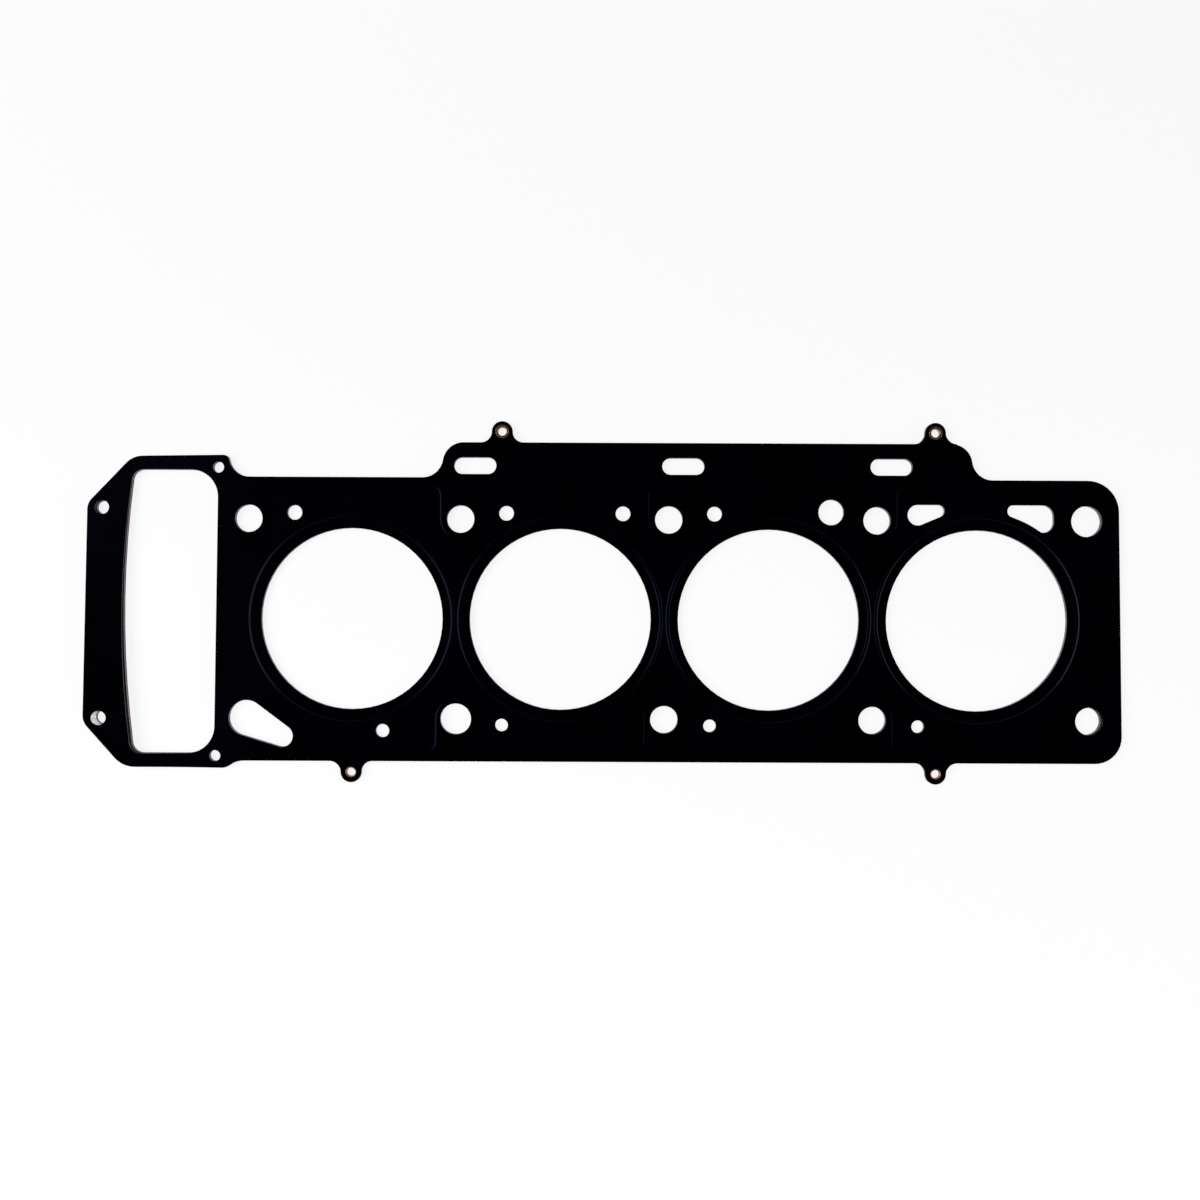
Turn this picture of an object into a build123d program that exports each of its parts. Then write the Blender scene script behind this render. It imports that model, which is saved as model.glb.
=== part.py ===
from build123d import *
import os
from math import acos, atan, degrees, sin

# Head gasket for a four-cylinder engine, three steel sheets held by four eyelets, lying flat.
# Origin: on the lower sealing face, midway between the two middle bores.
# X runs along the row of bores, away from the timing frame. Y runs across it. Z is up.
# Reaches along X are taken from the axis of the first or the last bore.

# Sheets: two embossed outer ones and a plain spacer between them
outer_gauge = 0.25
spacer_gauge = 1.0
bead_height = 0.35

# Cylinder bores, and the full bead pressed round each
bore_count = 4
bore_diameter = 87.0
bore_web = 13.0
bead_half_width = 1.4
bead_strip = 0.2

# Deck: the plate over the block
deck_front_y = -68.4
deck_right_back_y = 67.6
deck_left_back_y = 68.0
deck_right_back_reach = 67.9
deck_right_front_reach = 70.1
deck_front_corner = 12.8
deck_back_corner = 15.3

# Land: the strip behind the deck that holds the oil drains
land_depth = 17.3
land_left_reach = 53.3
land_right_reach = 12.3
land_step_radius = 10.0

# Timing frame at the left end
frame_root_reach = 62.0
frame_length = 64.8
frame_back_rise = 10.4
frame_front_drop = 3.5
frame_taper = 0.65
frame_back_chamfer = (21.3, 22.75)
frame_front_chamfer = (18.2, 21.75)
frame_back_heel_radius = 10.9
frame_back_toe_radius = 7.5
frame_front_toe_radius = 8.6
frame_front_heel_radius = 12.0
frame_back_root_radius = 10.2
frame_back_horn_radius = 2.6
frame_front_root_radius = 11.9
frame_front_horn_radius = 5.5

# Window of the timing frame
window_back_rail = 7.1
window_front_rail = 7.0
window_far_rail = 21.7
window_bow = 4.8
window_near_back_rail = 2.4
window_near_front_rail = 4.0
window_near_corner = 13.0
window_far_corner = 5.5

# Ears for the eyelets
ear_radius = 5.0
ear_neck_radius = 5.25
ear_seat_margin = 0.4
back_left_ear_reach = 71.8
back_right_ear_reach = -20.0
front_left_ear_reach = -0.25
front_right_ear_reach = -19.35

# Eyelets
eyelet_bore = 3.9
eyelet_wall = 0.3
eyelet_head_diameter = 6.3
eyelet_roll_diameter = 5.1
eyelet_flange_thickness = 0.3
eyelet_lip_radius = 0.45
eyelet_rim_radius = 0.13
eyelet_hole_clearance = 0.1

# Head bolt and dowel holes. The insets at the right end are taken from the border of the field.
bolt_row = 48.0
bolt_hole_diameter = 13.2
dowel_hole_diameter = 14.8
back_bolt_shift = 2.0
back_left_bolt_reach = -49.7
back_right_dowel_inset = 10.5
front_right_bolt_inset = 9.0
front_right_bolt_shift_below = 0.8

# Coolant holes and oil passages
vent_offset = 22.0
vent_step = 2.9
back_vent_diameter = 7.1
front_vent_diameter = 6.1
odd_vent_reach = 14.85
odd_vent_step = 5.8
odd_vent_diameter = 6.4
transfer_hole_step = 3.9
transfer_hole_diameter = 12.2
drain_length = 20.3
drain_width = 8.05
drain_shift = 8.9
drain_inset = 11.2

# Shaped ports behind the last bore, and the pear slot before the first: lobes of a belt
port_wall = 2.85
port_top_step = 7.75
left_port_lobes = [(-28.3, 4.95), (-18.4, 2.95)]
right_port_lobes = [(17.6, 2.9), (31.7, 5.3)]
right_port_low_lobe = (32.1, 47.6, 5.0)
pear_large_lobe = (-50.5, 0.1, 8.6)
pear_small_lobe = (-33.5, -8.5, 5.3)

# Bolt and screw holes of the timing frame
frame_bolt_inset = 6.9
frame_bolt_back_y = 53.0
frame_bolt_front_y = -47.8
frame_bolt_diameter = 6.7
frame_bolt_diameter_below = 6.1
frame_screw_diameter = 5.3
frame_screw_back_offset = (-2.35, -5.95)
frame_screw_front_offset = (-3.6, 5.8)

# Half bead: the step from the field round the bores up to the rim and the bolt islands
field_left_overhang = 1.05
field_right_inset = 4.8
field_back_inset = 2.6
field_front_inset = 4.0
step_width = 0.8
fold_radius = 1.6
bolt_island_radius = 9.2
corner_island_radius = 9.8
island_flare_radius = 6.0
pear_margin = 3.8

# Curl of the loose upper sheet, whose timing frame springs up towards its free end
curl_lead = 7.0
curl_lift_front = 4.3
curl_lift_back = 0.85

# Overlap between shapes that are joined, and depth of the cutting shapes
lap = 1.0
cut_depth = 20.0

bore_radius = bore_diameter / 2
bore_pitch = bore_diameter + bore_web
bore_centres = [(n - (bore_count - 1) / 2) * bore_pitch for n in range(bore_count)]
first_bore_x = bore_centres[0]
last_bore_x = bore_centres[-1]
bead_radius = bore_pitch / 2 - bead_strip / 2 - bead_half_width
bead_inner_radius = bead_radius - bead_half_width
bead_outer_radius = bead_radius + bead_half_width

deck_right_back_x = last_bore_x + deck_right_back_reach
deck_right_front_x = last_bore_x + deck_right_front_reach
land_back_y = deck_right_back_y + land_depth
land_left_x = first_bore_x + land_left_reach
land_right_x = last_bore_x - land_right_reach
frame_root_x = first_bore_x - frame_root_reach
frame_end_x = frame_root_x - frame_length
frame_back_y = deck_left_back_y + frame_back_rise
frame_front_y = deck_front_y - frame_front_drop
window_back_y = frame_back_y - window_back_rail
window_front_y = frame_front_y + window_front_rail

field_left_x = frame_root_x - field_left_overhang
field_right_x = deck_right_back_x - field_right_inset
field_back_y = deck_right_back_y - field_back_inset
field_front_y = deck_front_y + field_front_inset

between_bores = [(a + b) / 2 for a, b in zip(bore_centres, bore_centres[1:])]
back_left_bolt_x = first_bore_x + back_left_bolt_reach
back_right_dowel_x = field_right_x - back_right_dowel_inset
front_right_bolt_x = field_right_x - front_right_bolt_inset
back_inner_bolts = [x + back_bolt_shift for x in between_bores]
back_bolts = [back_left_bolt_x] + back_inner_bolts
front_dowel_x = between_bores[0]
front_bolts = between_bores[1:]

back_ears = [first_bore_x + back_left_ear_reach, last_bore_x + back_right_ear_reach]
front_ears = [first_bore_x + front_left_ear_reach, last_bore_x + front_right_ear_reach]
eyelet_seats = [(x, land_back_y + ear_neck_radius) for x in back_ears]
eyelet_seats += [(x, deck_front_y - ear_neck_radius) for x in front_ears]
barrel_radius = eyelet_bore / 2 + eyelet_wall

spacer_z = bead_height + outer_gauge
gasket_height = 2 * spacer_z + spacer_gauge


def bend_angle(rise, radii):
    """The turn, in radians, of each of two arcs that climb by rise between parallel edges."""
    return acos(1 - rise / radii)


def bend_run(rise, radii):
    """How far two such arcs travel along the edge."""
    return radii * sin(bend_angle(rise, radii))


def s_bend(start, heading, rise, first_radius, second_radius, side):
    """Two arcs that carry a straight edge over to a parallel one."""
    turn = side * degrees(bend_angle(rise, first_radius + second_radius))
    first = JernArc(start, heading, first_radius, turn)
    second = JernArc(first @ 1, first % 1, second_radius, -turn)
    return first, second


def tab(half_width, reach, flare):
    """A tongue up the Y axis with a round head, flared at its foot line Y = 0."""
    stem = Pos(0, (reach - lap) / 2) * Rectangle(2 * half_width, reach + lap)
    head = Pos(0, reach) * Circle(half_width)
    spread = half_width + flare
    foot = Pos(0, (flare - lap) / 2) * Rectangle(2 * spread, flare + lap)
    for x in (-spread, spread):
        foot -= Pos(x, flare) * Circle(flare)
    return stem + head + foot


def belt(lobes):
    """The area inside a belt drawn tight round circles, each given as x, y, radius."""
    rims = [(Pos(x, y) * Circle(radius)).edge() for x, y, radius in lobes]
    return make_hull(rims)


def round_hole(x, y, diameter):
    return Pos(x, y) * Circle(diameter / 2)


def deck_end():
    """The right end of the deck, from the middle of its front edge to the foot of the land."""
    foot_x = land_right_x + bend_run(land_depth, 2 * land_step_radius)
    return FilletPolyline(
        (0, deck_front_y), (deck_right_front_x, deck_front_y),
        (deck_right_back_x, deck_right_back_y), (foot_x, deck_right_back_y),
        radius=[deck_front_corner, deck_back_corner])


def frame_end(start):
    """The free end of the timing frame, with its two cut corners."""
    back_y = frame_back_y - frame_taper
    front_y = frame_front_y + frame_taper
    back_run, back_drop = frame_back_chamfer
    front_run, front_drop = frame_front_chamfer
    return FilletPolyline(
        start,
        (frame_end_x + back_run, back_y), (frame_end_x, back_y - back_drop),
        (frame_end_x, front_y + front_drop), (frame_end_x + front_run, front_y),
        (frame_root_x, frame_front_y),
        radius=[frame_back_heel_radius, frame_back_toe_radius,
                frame_front_toe_radius, frame_front_heel_radius])


def plate_outline():
    """The outer edge that all three sheets share, drawn round from the front, with the ears."""
    left = (-1, 0)
    right = (1, 0)
    end = deck_end()
    climb = s_bend(end @ 1, left, land_depth, land_step_radius, land_step_radius, -1)
    land = Line(climb[1] @ 1, (land_left_x, land_back_y))
    descent = s_bend(land @ 1, left, land_back_y - deck_left_back_y,
                     land_step_radius, land_step_radius, 1)
    root_radii = frame_back_root_radius + frame_back_horn_radius
    root_x = frame_root_x + bend_run(frame_back_rise, root_radii)
    shoulder = Line(descent[1] @ 1, (root_x, deck_left_back_y))
    back_root = s_bend(shoulder @ 1, left, frame_back_rise,
                       frame_back_root_radius, frame_back_horn_radius, -1)
    frame = frame_end(back_root[1] @ 1)
    front_root = s_bend(frame @ 1, right, frame_front_drop,
                        frame_front_horn_radius, frame_front_root_radius, 1)
    front = Line(front_root[1] @ 1, end @ 0)
    runs = [end, *climb, land, *descent, shoulder, *back_root, frame, *front_root, front]
    outline = make_face([edge for run in runs for edge in run.edges()])
    ear = tab(ear_radius, ear_neck_radius, ear_neck_radius)
    outline += [Pos(x, land_back_y) * ear for x in back_ears]
    outline += [Pos(x, deck_front_y) * Rot(0, 0, 180) * ear for x in front_ears]
    return outline


def window():
    """The tall opening of the timing frame, bowed out on its far side."""
    far_x = frame_end_x + window_far_rail
    back_far = (far_x, window_back_y)
    front_far = (far_x, window_front_y)
    front_near = (frame_root_x - window_near_front_rail, window_front_y)
    back_near = (frame_root_x - window_near_back_rail, window_back_y)
    bow = (far_x - window_bow, (window_back_y + window_front_y) / 2)
    far_side = ThreePointArc(back_far, bow, front_far)
    straight_sides = Polyline(front_far, front_near, back_near, back_far)
    face = make_face([*far_side.edges(), *straight_sides.edges()])
    face = fillet(face.vertices().sort_by(Axis.X)[2:], window_near_corner)
    return fillet(face.vertices().sort_by(Axis.X)[:2], window_far_corner)


def bolt_holes(front_right_x):
    holes = [round_hole(x, bolt_row, bolt_hole_diameter) for x in back_bolts]
    holes += [round_hole(x, -bolt_row, bolt_hole_diameter) for x in [*front_bolts, front_right_x]]
    holes.append(round_hole(back_right_dowel_x, bolt_row, dowel_hole_diameter))
    holes.append(round_hole(front_dowel_x, -bolt_row, dowel_hole_diameter))
    return holes


def vent_holes():
    """Small coolant holes beside the bolts, and one larger transfer hole."""
    first, second, third, fourth = back_bolts
    back_x = [first + vent_offset, second + vent_offset, third - vent_offset, third + vent_offset]
    back_y = bolt_row + vent_step
    holes = [round_hole(x, back_y, back_vent_diameter) for x in back_x]
    holes += [round_hole(x + vent_offset, -back_y, front_vent_diameter) for x in between_bores]
    holes.append(round_hole(first_bore_x + odd_vent_reach, -bolt_row - odd_vent_step,
                            odd_vent_diameter))
    holes.append(round_hole(fourth - vent_offset, bolt_row + transfer_hole_step,
                            transfer_hole_diameter))
    return holes


def drain_holes():
    drain = SlotOverall(drain_length, drain_width)
    return [Pos(x + drain_shift, land_back_y - drain_inset) * drain for x in between_bores]


def pear_lobes(margin=0.0):
    return [(first_bore_x + x, y - bolt_row, radius + margin)
            for x, y, radius in (pear_large_lobe, pear_small_lobe)]


def port_holes():
    """Two ports that share a top line and keep a wall round the last bore, and the pear slot."""
    top_y = bolt_row + port_top_step
    keep = round_hole(last_bore_x, 0, 2 * (bead_outer_radius + port_wall))
    left = [(last_bore_x + x, top_y - radius, radius) for x, radius in left_port_lobes]
    right = [(last_bore_x + x, top_y - radius, radius) for x, radius in right_port_lobes]
    x, y, radius = right_port_low_lobe
    right.append((last_bore_x + x, y, radius))
    return [belt(left) - keep, belt(right) - keep, belt(pear_lobes())]


def frame_holes(bolt_diameter):
    bolt_x = frame_end_x + frame_bolt_inset
    back_x, back_y = frame_screw_back_offset
    front_x, front_y = frame_screw_front_offset
    return [
        round_hole(bolt_x, frame_bolt_back_y, bolt_diameter),
        round_hole(bolt_x, frame_bolt_front_y, bolt_diameter),
        round_hole(frame_root_x + back_x, frame_back_y + back_y, frame_screw_diameter),
        round_hole(frame_root_x + front_x, frame_front_y + front_y, frame_screw_diameter),
        window()]


def eyelet_holes():
    diameter = 2 * barrel_radius + eyelet_hole_clearance
    return [round_hole(x, y, diameter) for x, y in eyelet_seats]


def sheet_plan(frame_bolt_size, front_right_x):
    """A sheet seen from above: the outline less all of its holes."""
    plan = plate_outline() - [round_hole(x, 0, bore_diameter) for x in bore_centres]
    for holes in (bolt_holes(front_right_x), vent_holes(), drain_holes(), port_holes(),
                  frame_holes(frame_bolt_size), eyelet_holes()):
        plan -= holes
    return plan


def corner_island(x, y, radius, border_x, border_y):
    """The raised corner of a sheet: round the bolt at x, y and out to two borders of the field."""
    side_x = 1 if border_x > x else -1
    side_y = 1 if border_y > y else -1
    width = abs(border_x - x)
    height = abs(border_y - y)
    across = Pos(border_x, y) * Rot(0, 0, 90 * side_x) * tab(radius, width, island_flare_radius)
    along = Pos(x, border_y) * Rot(0, 0, 90 + 90 * side_y) * tab(radius, height, island_flare_radius)
    corner = Pos(x, y) * Rectangle(2 * width, 2 * height) & Pos(
        x + side_x * width, y + side_y * height) * Rectangle(2 * width, 2 * height)
    return across + along + corner


def pear_island():
    """The raised corner round the pear slot, which covers the corner bolt as well."""
    large, small = pear_lobes(pear_margin)
    large_x, large_y, large_radius = large
    small_x, small_y, small_radius = small
    reach = small_y - field_front_y
    foot = Pos(small_x, field_front_y) * tab(small_radius, reach, island_flare_radius)
    bridge = Pos((large_x + small_x) / 2, field_front_y) * Rectangle(small_x - large_x, 2 * reach)
    corner = corner_island(large_x, large_y, large_radius, field_left_x, field_front_y)
    return belt([large, small]) + corner + foot + bridge


def field_outline():
    """The part of an outer sheet that lies on the spacer: the field round the bores, and the ears."""
    middle = Pos((field_left_x + field_right_x) / 2, (field_back_y + field_front_y) / 2)
    field = middle * Rectangle(field_right_x - field_left_x, field_back_y - field_front_y)
    back = tab(bolt_island_radius, field_back_y - bolt_row, island_flare_radius)
    front = tab(bolt_island_radius, -bolt_row - field_front_y, island_flare_radius)
    field -= [Pos(x, field_back_y) * Rot(0, 0, 180) * back for x in back_inner_bolts]
    field -= [Pos(x, field_front_y) * front for x in between_bores]
    field -= corner_island(back_left_bolt_x, bolt_row, corner_island_radius,
                           field_left_x, field_back_y)
    field -= corner_island(back_right_dowel_x, bolt_row, corner_island_radius,
                           field_right_x, field_back_y)
    field -= corner_island(front_right_bolt_x, -bolt_row, corner_island_radius,
                           field_right_x, field_front_y)
    field -= pear_island()
    ear_seat = Circle(ear_radius + ear_seat_margin + step_width)
    return field + [Pos(x, y) * ear_seat for x, y in eyelet_seats]


def half_bead_die():
    """The die under an outer sheet: a plate with the field raised on a smooth S-shaped flank."""
    slope = degrees(atan(step_width / bead_height))
    foot_line = field_outline()
    blank = (plate_outline() + foot_line).bounding_box()
    plate = Pos(blank.center()) * Rectangle(blank.size.X + 2 * lap, blank.size.Y + 2 * lap)
    plate = Pos(0, 0, -lap) * extrude(plate, lap)
    die = plate + extrude(foot_line, bead_height, taper=slope)
    foot_points = [corner.center() for corner in foot_line.vertices()]

    def on_flank(edge):
        z = edge.center().Z
        if abs(z) > lap / 10:
            return abs(z - bead_height) < lap / 100
        ends = [edge @ 0, edge @ 1]
        return all(min((end - point).length for point in foot_points) < lap / 100 for end in ends)

    return fillet(die.edges().filter_by(on_flank), fold_radius)


def bead_ring():
    """The ring of sheet round a bore: a flat land, then the full bead, its crest on Z = 0."""
    turn = 2 * atan(bead_height / bead_half_width)
    bend = bead_half_width / (2 * sin(turn))

    def curve(z):
        fall = JernArc((bead_inner_radius, z), (1, 0), bend, -degrees(turn))
        crest = JernArc(fall @ 1, fall % 1, bend, 2 * degrees(turn))
        rise = JernArc(crest @ 1, crest % 1, bend, -degrees(turn))
        return [Line((bore_radius, z), fall @ 0), fall, crest, rise]

    under = curve(bead_height)
    over = curve(bead_height + outer_gauge)
    ends = [Line(under[0] @ 0, over[0] @ 0), Line(under[-1] @ 1, over[-1] @ 1)]
    section = make_face([edge for run in [*under, *over, *ends] for edge in run.edges()])
    return revolve(Plane.XZ * section, Axis.Z)


def cutter(plan):
    return Pos(0, 0, -cut_depth / 2) * extrude(plan, cut_depth)


def embossed_sheet(plan):
    """The under sheet, its rim and bead crests on Z = 0: the gap between two dies."""
    die = half_bead_die()
    sheet = Pos(0, 0, outer_gauge) * die - die
    seats = Sketch() + [round_hole(x, 0, 2 * bead_outer_radius) for x in bore_centres]
    ring = bead_ring()
    sheet -= cutter(seats)
    sheet += [Pos(x, 0) * ring for x in bore_centres]
    return sheet & cutter(plan)


def curled_frame(plan, start_x):
    """The timing frame of a loose sheet: a skin ruled between two parabolic rails."""
    length = start_x - frame_end_x
    reach = length + lap
    fall = (curl_lift_front - curl_lift_back) / (frame_bolt_back_y - frame_bolt_front_y)

    def rail(y):
        lift = curl_lift_front - fall * (y - frame_bolt_front_y)
        tip_z = lift * (reach / length) ** 2
        return Bezier((start_x, y, 0), (start_x - reach / 2, y, 0), (start_x - reach, y, tip_z))

    skin = Face.make_surface_from_curves(rail(frame_front_y - lap), rail(frame_back_y + lap))
    return extrude(skin, outer_gauge, dir=(0, 0, 1)) & cutter(plan)


def top_sheet():
    plan = sheet_plan(frame_bolt_diameter, front_right_bolt_x)
    curl_x = frame_root_x - curl_lead
    deck = mirror(embossed_sheet(plan), Plane.XY).split(Plane.YZ.offset(curl_x), keep=Keep.TOP)
    frame = Pos(0, 0, -outer_gauge) * curled_frame(plan, curl_x)
    return Pos(0, 0, gasket_height) * (deck + frame)


def lower_plan():
    return sheet_plan(frame_bolt_diameter_below, front_right_bolt_x - front_right_bolt_shift_below)


def spacer_plate():
    return Pos(0, 0, spacer_z) * extrude(lower_plan(), spacer_gauge)


def under_sheet():
    return embossed_sheet(lower_plan())


def eyelet():
    """An eyelet with its head up and its rolled end down, which clamps the ears on the spacer."""
    bore = eyelet_bore / 2
    head = eyelet_head_diameter / 2
    roll = eyelet_roll_diameter / 2
    low = bead_height
    high = gasket_height - bead_height
    bottom = low - eyelet_flange_thickness
    top = high + eyelet_flange_thickness
    section = make_face(Polyline(
        (bore, bottom), (roll, bottom), (roll, low), (barrel_radius, low),
        (barrel_radius, high), (head, high), (head, top), (bore, top), close=True))
    across = section.vertices().group_by(Axis.X)
    section = fillet([*across[-1], *across[-2]], eyelet_rim_radius)
    section = fillet(section.vertices().group_by(Axis.X)[0], eyelet_lip_radius)
    return revolve(Plane.XZ * section, Axis.Z)


def seated_eyelet(x, y):
    """The back pair is pressed in from above, the front pair from below."""
    seat = Pos(x, y) if y > 0 else Pos(x, y, gasket_height) * Rot(180, 0, 0)
    return seat * eyelet()


os.makedirs("parts", exist_ok=True)
export_step(top_sheet(), "parts/top_sheet.step")
export_step(spacer_plate(), "parts/spacer_plate.step")
export_step(under_sheet(), "parts/under_sheet.step")
for number, (x, y) in enumerate(eyelet_seats, start=1):
    export_step(seated_eyelet(x, y), f"parts/eyelet_{number}.step")
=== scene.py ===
import math

import bpy
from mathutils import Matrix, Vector


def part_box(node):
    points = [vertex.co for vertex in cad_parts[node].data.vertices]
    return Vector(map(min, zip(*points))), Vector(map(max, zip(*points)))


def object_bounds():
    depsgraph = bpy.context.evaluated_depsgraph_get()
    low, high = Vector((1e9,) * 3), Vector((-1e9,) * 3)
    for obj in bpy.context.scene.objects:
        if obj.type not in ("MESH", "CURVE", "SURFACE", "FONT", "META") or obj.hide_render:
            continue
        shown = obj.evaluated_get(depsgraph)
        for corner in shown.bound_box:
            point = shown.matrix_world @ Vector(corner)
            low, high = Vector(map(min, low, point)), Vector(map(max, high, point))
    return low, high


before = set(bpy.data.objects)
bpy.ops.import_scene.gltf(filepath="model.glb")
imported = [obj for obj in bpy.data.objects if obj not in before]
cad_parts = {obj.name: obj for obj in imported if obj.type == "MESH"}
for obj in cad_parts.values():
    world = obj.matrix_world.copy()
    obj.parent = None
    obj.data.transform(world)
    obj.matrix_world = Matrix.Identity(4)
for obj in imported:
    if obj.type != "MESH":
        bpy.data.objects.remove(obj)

# A black coated head gasket of three steel sheets, lying on a pale floor and seen from straight above.
# Lengths are in metres. Colours are linear red, green and blue.

cad_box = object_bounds()
gasket_middle = (Vector(cad_box[0]) + Vector(cad_box[1])) / 2
mm = 0.001
black = (0.0, 0.0, 0.0)
white = (1.0, 1.0, 1.0)
relief_depth = 0.01 * mm

# The row of bores, and the full bead pressed round each: three arcs of one radius, the bend.
# Its crispness is how much steeper than the solid it is shaded.
bore_count = 4
bore_pitch = 100 * mm
bead_radius = 48.5 * mm
bead_half_width = 1.4 * mm
bead_height = 0.35 * mm
bead_bend = bead_half_width / (2 * math.sin(2 * math.atan(bead_height / bead_half_width)))
bead_crispness = 1.4
spacer_middle = sum(corner[2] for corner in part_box("spacer_plate")) / 2

# Sockets of a colour Mix node, which share their names with those for numbers and vectors
mix_first = 6
mix_second = 7
mix_result = 2


class Wire:
    """An output of a shader node. Arithmetic on it adds Math nodes to the same finish."""

    def __init__(self, finish, socket):
        self.finish = finish
        self.socket = socket

    def math(self, operation, *values):
        return self.finish.node("ShaderNodeMath", {"operation": operation}, dict(enumerate(values)))

    def __add__(self, other):
        return self.math("ADD", self, other)

    def __sub__(self, other):
        return self.math("SUBTRACT", self, other)

    def __rsub__(self, other):
        return self.math("SUBTRACT", other, self)

    def __mul__(self, other):
        return self.math("MULTIPLY", self, other)

    def __pow__(self, other):
        return self.math("POWER", self, other)

    def __abs__(self):
        return self.math("ABSOLUTE", self)

    __radd__ = __add__
    __rmul__ = __mul__

    def largest(self, other):
        return self.math("MAXIMUM", self, other)

    def smallest(self, other):
        return self.math("MINIMUM", self, other)

    def whole(self):
        return self.math("FLOOR", self)

    def sign(self):
        return self.math("SIGN", self)

    def ramp(self, low, high):
        """0 below low, 1 above high, smooth between."""
        return self.finish.node(
            "ShaderNodeMapRange", {"interpolation_type": "SMOOTHSTEP"},
            {"Value": self, "From Min": low, "From Max": high})


class Finish:
    """A node tree with the few methods that the materials and the world need."""

    def __init__(self, tree):
        self.tree = tree
        tree.nodes.clear()

    def node(self, kind, settings=None, inputs=None, output=0):
        """Adds a node, sets its settings first, then the values or links of its inputs."""
        made = self.tree.nodes.new(kind)
        for name, value in (settings or {}).items():
            setattr(made, name, value)
        for name, value in (inputs or {}).items():
            if isinstance(value, Wire):
                self.tree.links.new(value.socket, made.inputs[name])
            else:
                made.inputs[name].default_value = value
        return None if output is None else Wire(self, made.outputs[output])

    def mix(self, share, first, second):
        """One colour or direction turning into another as share goes from 0 to 1."""
        return self.node(
            "ShaderNodeMix", {"data_type": "RGBA"},
            {"Factor": share, mix_first: colour(first), mix_second: colour(second)}, output=mix_result)

    def stretch(self, vector, factors):
        return self.node("ShaderNodeVectorMath", {"operation": "MULTIPLY"}, {0: vector, 1: factors})

    def noise(self, place, size, detail, roughness=0.5):
        """Soft blotches of about the given size, from 0 to 1."""
        return self.node("ShaderNodeTexNoise", None,
                         {"Vector": place, "Scale": 1 / size, "Detail": detail,
                          "Roughness": roughness})

    def place(self):
        return self.node("ShaderNodeTexCoord", output="Object")

    def along(self, vector, axis):
        """The X, Y or Z of a vector."""
        return self.node("ShaderNodeSeparateXYZ", None, {0: vector}, output=axis)

    def facing(self):
        return self.node("ShaderNodeNewGeometry", output="Normal")

    def upright(self):
        """How far a face stands on edge: 0 on the flats and the beads, 1 on the cut walls."""
        face = self.node("ShaderNodeNewGeometry", output="True Normal")
        return 1 - abs(self.along(face, "Z")).ramp(0.35, 0.7)

    def relief(self, strength, height, facing=None):
        """Which way a surface with a fine relief faces. Without facing it follows the mesh."""
        inputs = {"Strength": strength, "Distance": relief_depth, "Height": height}
        if facing is not None:
            inputs["Normal"] = facing
        return self.node("ShaderNodeBump", None, inputs)

    def ray(self, kind):
        return self.node("ShaderNodeLightPath", output=kind)

    def seen(self):
        """1 for what the camera sees, itself or in a gloss or through glass, and 0 for diffuse light."""
        mirrored = self.ray("Is Glossy Ray")
        return self.ray("Is Camera Ray").largest(mirrored).largest(self.ray("Is Transmission Ray"))

    def end(self, kind, shader):
        self.node(kind, None, {"Surface": shader}, output=None)

    def principled(self, inputs):
        """Ends a material with one Principled shader."""
        self.end("ShaderNodeOutputMaterial", self.node("ShaderNodeBsdfPrincipled", None, inputs))


def colour(value):
    """A plain colour gets the fourth number that its socket holds, and a wire stays as it is."""
    return value if isinstance(value, Wire) else (*value, 1.0)


def material(name):
    made = bpy.data.materials.new(name)
    made.use_nodes = True
    return made, Finish(made.node_tree)


def cut_wall(finish, place):
    """The sheared edge of a sheet: steel with fine streaks down the wall, from grey to burnt brown."""
    dark_steel = (0.115, 0.09, 0.09)
    grey_steel = (0.34, 0.29, 0.29)
    burnt_steel = (0.23, 0.155, 0.125)
    down_the_wall = finish.stretch(place, (1.0, 1.0, 0.04))
    streak = finish.noise(down_the_wall, 0.12 * mm, detail=3.0)
    patch = finish.noise(place, 6.0 * mm, detail=3.0)
    shade = finish.mix(streak.ramp(0.35, 0.7), dark_steel, grey_steel)
    tinted = finish.mix(patch.ramp(0.4, 0.7) * 0.6, shade, burnt_steel)
    return tinted, streak


def crisp_beads(finish, place):
    """Which way the sheet faces, with the full beads worked out from their arcs and made steeper."""
    x = finish.along(place, "X")
    y = finish.along(place, "Y")
    last = (bore_count - 1) / 2
    nearest = (x * (1 / bore_pitch) + bore_count / 2).whole() - last
    from_centre = x - nearest.largest(-last).smallest(last) * bore_pitch
    radius = (from_centre ** 2 + y ** 2) ** 0.5
    past_crest = radius - bead_radius
    from_crest = abs(past_crest)
    sine = from_crest.smallest(bead_half_width - from_crest).largest(0.0) * (1 / bead_bend)
    slope = bead_crispness * sine * (1 - sine ** 2) ** -0.5
    facing = finish.facing()
    up = finish.along(facing, "Z").sign()
    outer_face = up * (finish.along(place, "Z") - spacer_middle).sign()
    outward = slope * past_crest.sign() * outer_face * radius ** -1
    bead = finish.node("ShaderNodeCombineXYZ", None,
                       {"X": from_centre * outward, "Y": y * outward, "Z": up})
    bead = finish.node("ShaderNodeVectorMath", {"operation": "NORMALIZE"}, {0: bead})
    off_bead = from_crest.ramp(bead_half_width, 1.1 * bead_half_width)
    return finish.mix(off_bead, bead, facing)


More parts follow.
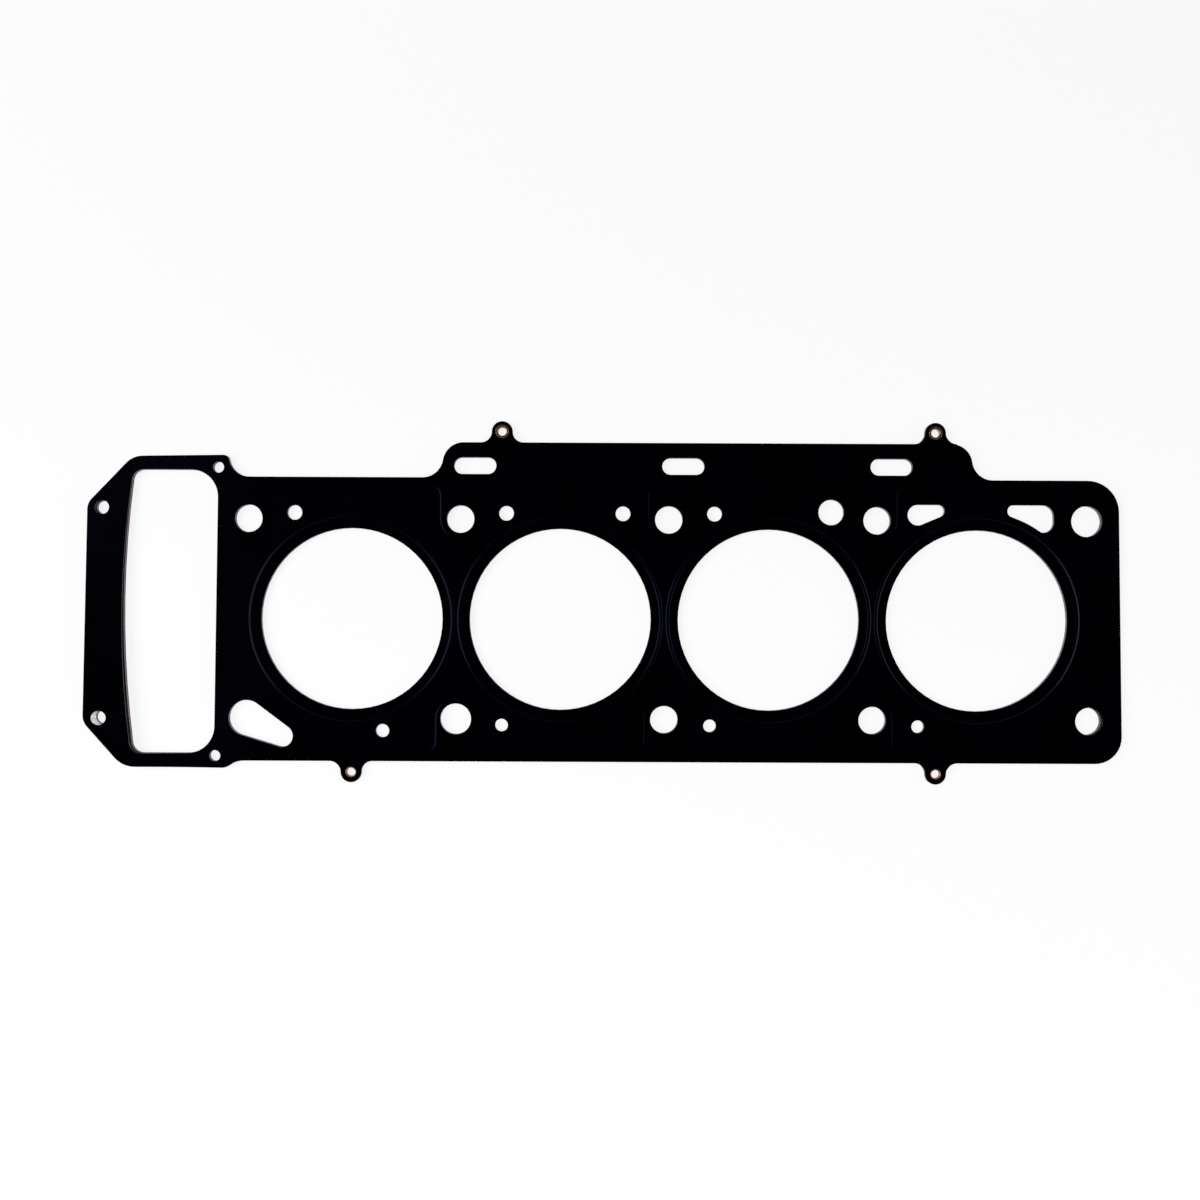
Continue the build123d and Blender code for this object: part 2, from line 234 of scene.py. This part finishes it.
def coated_sheet():
    """Satin black rubber coating on thin spring steel, with bare cut edges."""
    rubber = (0.0002, 0.0002, 0.0006)
    faded_rubber = (0.0005, 0.0004, 0.0014)
    dust = (0.006, 0.006, 0.009)
    sheen = (0.42, 0.52, 1.0)
    made, finish = material("coated_sheet")
    place = finish.place()
    wall = finish.upright()
    grain = finish.noise(place, 0.35 * mm, detail=3.0, roughness=0.6)
    cloud = finish.noise(place, 22.0 * mm, detail=4.0)
    smudge = finish.noise(finish.stretch(place, (0.35, 1.0, 1.0)), 9.0 * mm, detail=5.0, roughness=0.62)
    speck = finish.noise(place, 1.3 * mm, detail=1.0).ramp(0.73, 0.78)
    coat = finish.mix(cloud.ramp(0.3, 0.7), rubber, faded_rubber)
    coat = finish.mix(speck * 0.5, coat, dust)
    steel, streak = cut_wall(finish, place)
    gloss = 0.21 + 0.05 * smudge.ramp(0.35, 0.75) + 0.03 * grain
    finish.principled({
        "Base Color": finish.mix(wall, coat, steel),
        "Metallic": wall,
        "Roughness": gloss + 0.06 * wall,
        "Specular IOR Level": 0.045,
        "Specular Tint": colour(sheen),
        "Normal": finish.relief(0.12, grain + 1.5 * streak * wall, crisp_beads(finish, place))})
    return made


def plain_steel():
    """Bare cold-rolled steel: fine lines along the rolling direction, streaked cut walls."""
    dark_line = (0.40, 0.385, 0.375)
    bright_line = (0.60, 0.585, 0.57)
    stain = (0.33, 0.28, 0.24)
    made, finish = material("plain_steel")
    place = finish.place()
    wall = finish.upright()
    lines = finish.noise(finish.stretch(place, (0.02, 1.0, 1.0)), 0.15 * mm, detail=3.0)
    cloud = finish.noise(place, 18.0 * mm, detail=4.0)
    flat = finish.mix(lines.ramp(0.3, 0.7), dark_line, bright_line)
    flat = finish.mix(cloud.ramp(0.45, 0.8) * 0.5, flat, stain)
    steel, streak = cut_wall(finish, place)
    finish.principled({
        "Base Color": finish.mix(wall, flat, steel),
        "Metallic": 1.0,
        "Roughness": 0.3 + 0.12 * lines + 0.08 * wall,
        "Normal": finish.relief(0.3, lines + streak * wall)})
    return made


def eyelet_brass():
    """Dull rolled brass, tan where it is bright and browner where it has tarnished."""
    brown_brass = (0.33, 0.20, 0.11)
    tan_brass = (0.45, 0.29, 0.17)
    tarnished = (0.17, 0.09, 0.045)
    made, finish = material("eyelet_brass")
    place = finish.place()
    grain = finish.noise(place, 0.12 * mm, detail=3.0)
    tarnish = finish.noise(place, 1.1 * mm, detail=4.0, roughness=0.6)
    metal = finish.mix(grain.ramp(0.3, 0.7), brown_brass, tan_brass)
    metal = finish.mix(tarnish.ramp(0.45, 0.75) * 0.7, metal, tarnished)
    finish.principled({
        "Base Color": metal,
        "Metallic": 1.0,
        "Roughness": 0.28 + 0.2 * tarnish,
        "Normal": finish.relief(0.3, grain + tarnish)})
    return made


def pale_floor():
    """White to the eye, with a share of plain diffuse white that keeps the shadow.

    It is a trace brighter in front of the gasket than behind it, a painted light in its glow.
    """
    glow_behind = 0.82
    painted_light_rise = 0.05
    reach = 300 * mm
    diffuse = (0.16, 0.16, 0.165)
    made, finish = material("pale_floor")
    front = 1 - finish.along(finish.place(), "Y").ramp(-reach, reach)
    # Painted light: the glow the camera sees rises towards the front of the gasket.
    level = finish.seen() * (glow_behind + painted_light_rise * front)
    glow = finish.node("ShaderNodeEmission", None, {"Color": finish.mix(level, black, white)})
    chalk = finish.node("ShaderNodeBsdfDiffuse", None, {"Color": colour(diffuse)})
    both = finish.node("ShaderNodeAddShader", None, {0: glow, 1: chalk})
    finish.end("ShaderNodeOutputMaterial", both)
    return made


def floor():
    size = 6.0
    bpy.ops.mesh.primitive_plane_add(size=size, location=(0, 0, cad_box[0][2]))
    made = bpy.context.object
    made.name = "floor"
    made.data.materials.append(pale_floor())


def room():
    """A dim fill light, white to the camera. A gloss shows it white low down and dark overhead."""
    fill = 0.35
    overhead = 0.005
    world = bpy.data.worlds.new("room")
    world.use_nodes = True
    bpy.context.scene.world = world
    finish = Finish(world.node_tree)
    height = finish.along(finish.node("ShaderNodeTexCoord", output="Generated"), "Z")
    backdrop = 1 - (1 - overhead) * height.ramp(0.25, 0.6)
    level = fill + finish.seen() * (backdrop - fill)
    level = level + finish.ray("Is Camera Ray") * (1 - level)
    background = finish.node("ShaderNodeBackground", None, {"Color": finish.mix(level, black, white)})
    finish.end("ShaderNodeOutputWorld", background)


def softbox(name, azimuth, elevation, height, power):
    """A wide lamp that points at the gasket. Azimuth 0 is at the right, 90 behind."""
    distance = 2.2
    width = 1.8
    daylight = (0.95, 0.97, 1.0)
    light = bpy.data.lights.new(name, "AREA")
    light.shape = "RECTANGLE"
    light.size = width
    light.size_y = height
    light.energy = power
    light.color = daylight
    made = bpy.data.objects.new(name, light)
    bpy.context.scene.collection.objects.link(made)
    turn = math.radians(azimuth)
    tilt = math.radians(elevation)
    away = Vector((math.cos(turn) * math.cos(tilt), math.sin(turn) * math.cos(tilt), math.sin(tilt)))
    made.location = gasket_middle + away * distance
    made.rotation_euler = away.to_track_quat("Z", "Y").to_euler()


def overhead_camera():
    """The photograph's view: straight down, a little left of and behind the middle of the bores."""
    photo_width = 1200
    pixels_per_mm = 2.082
    above = 450 * mm
    sheet_middle = 2.03 * mm
    photo_turn = 0.00415
    view_axis = Vector((-30.9 * mm, 9.4 * mm, 0))
    camera = bpy.data.cameras.new("overhead")
    camera.sensor_width = 36.0
    camera.lens = camera.sensor_width * pixels_per_mm * above / mm / photo_width
    camera.clip_start = 0.01
    made = bpy.data.objects.new("overhead", camera)
    bpy.context.scene.collection.objects.link(made)
    made.location = view_axis + Vector((0, 0, above + sheet_middle))
    made.rotation_euler = (0, 0, photo_turn)
    bpy.context.scene.camera = made


def dress(names, surface):
    for name in names:
        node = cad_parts[name]
        node.data.materials.clear()
        node.data.materials.append(surface)


eyelets = [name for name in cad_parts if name.startswith("eyelet")]

dress(["top_sheet", "under_sheet"], coated_sheet())
dress(["spacer_plate"], plain_steel())
dress(eyelets, eyelet_brass())
floor()
room()
softbox("left_softbox", azimuth=180, elevation=32, height=1.3, power=46.0)
softbox("right_softbox", azimuth=0, elevation=15, height=0.75, power=18.0)
overhead_camera()

bpy.context.scene.view_settings.view_transform = "Standard"
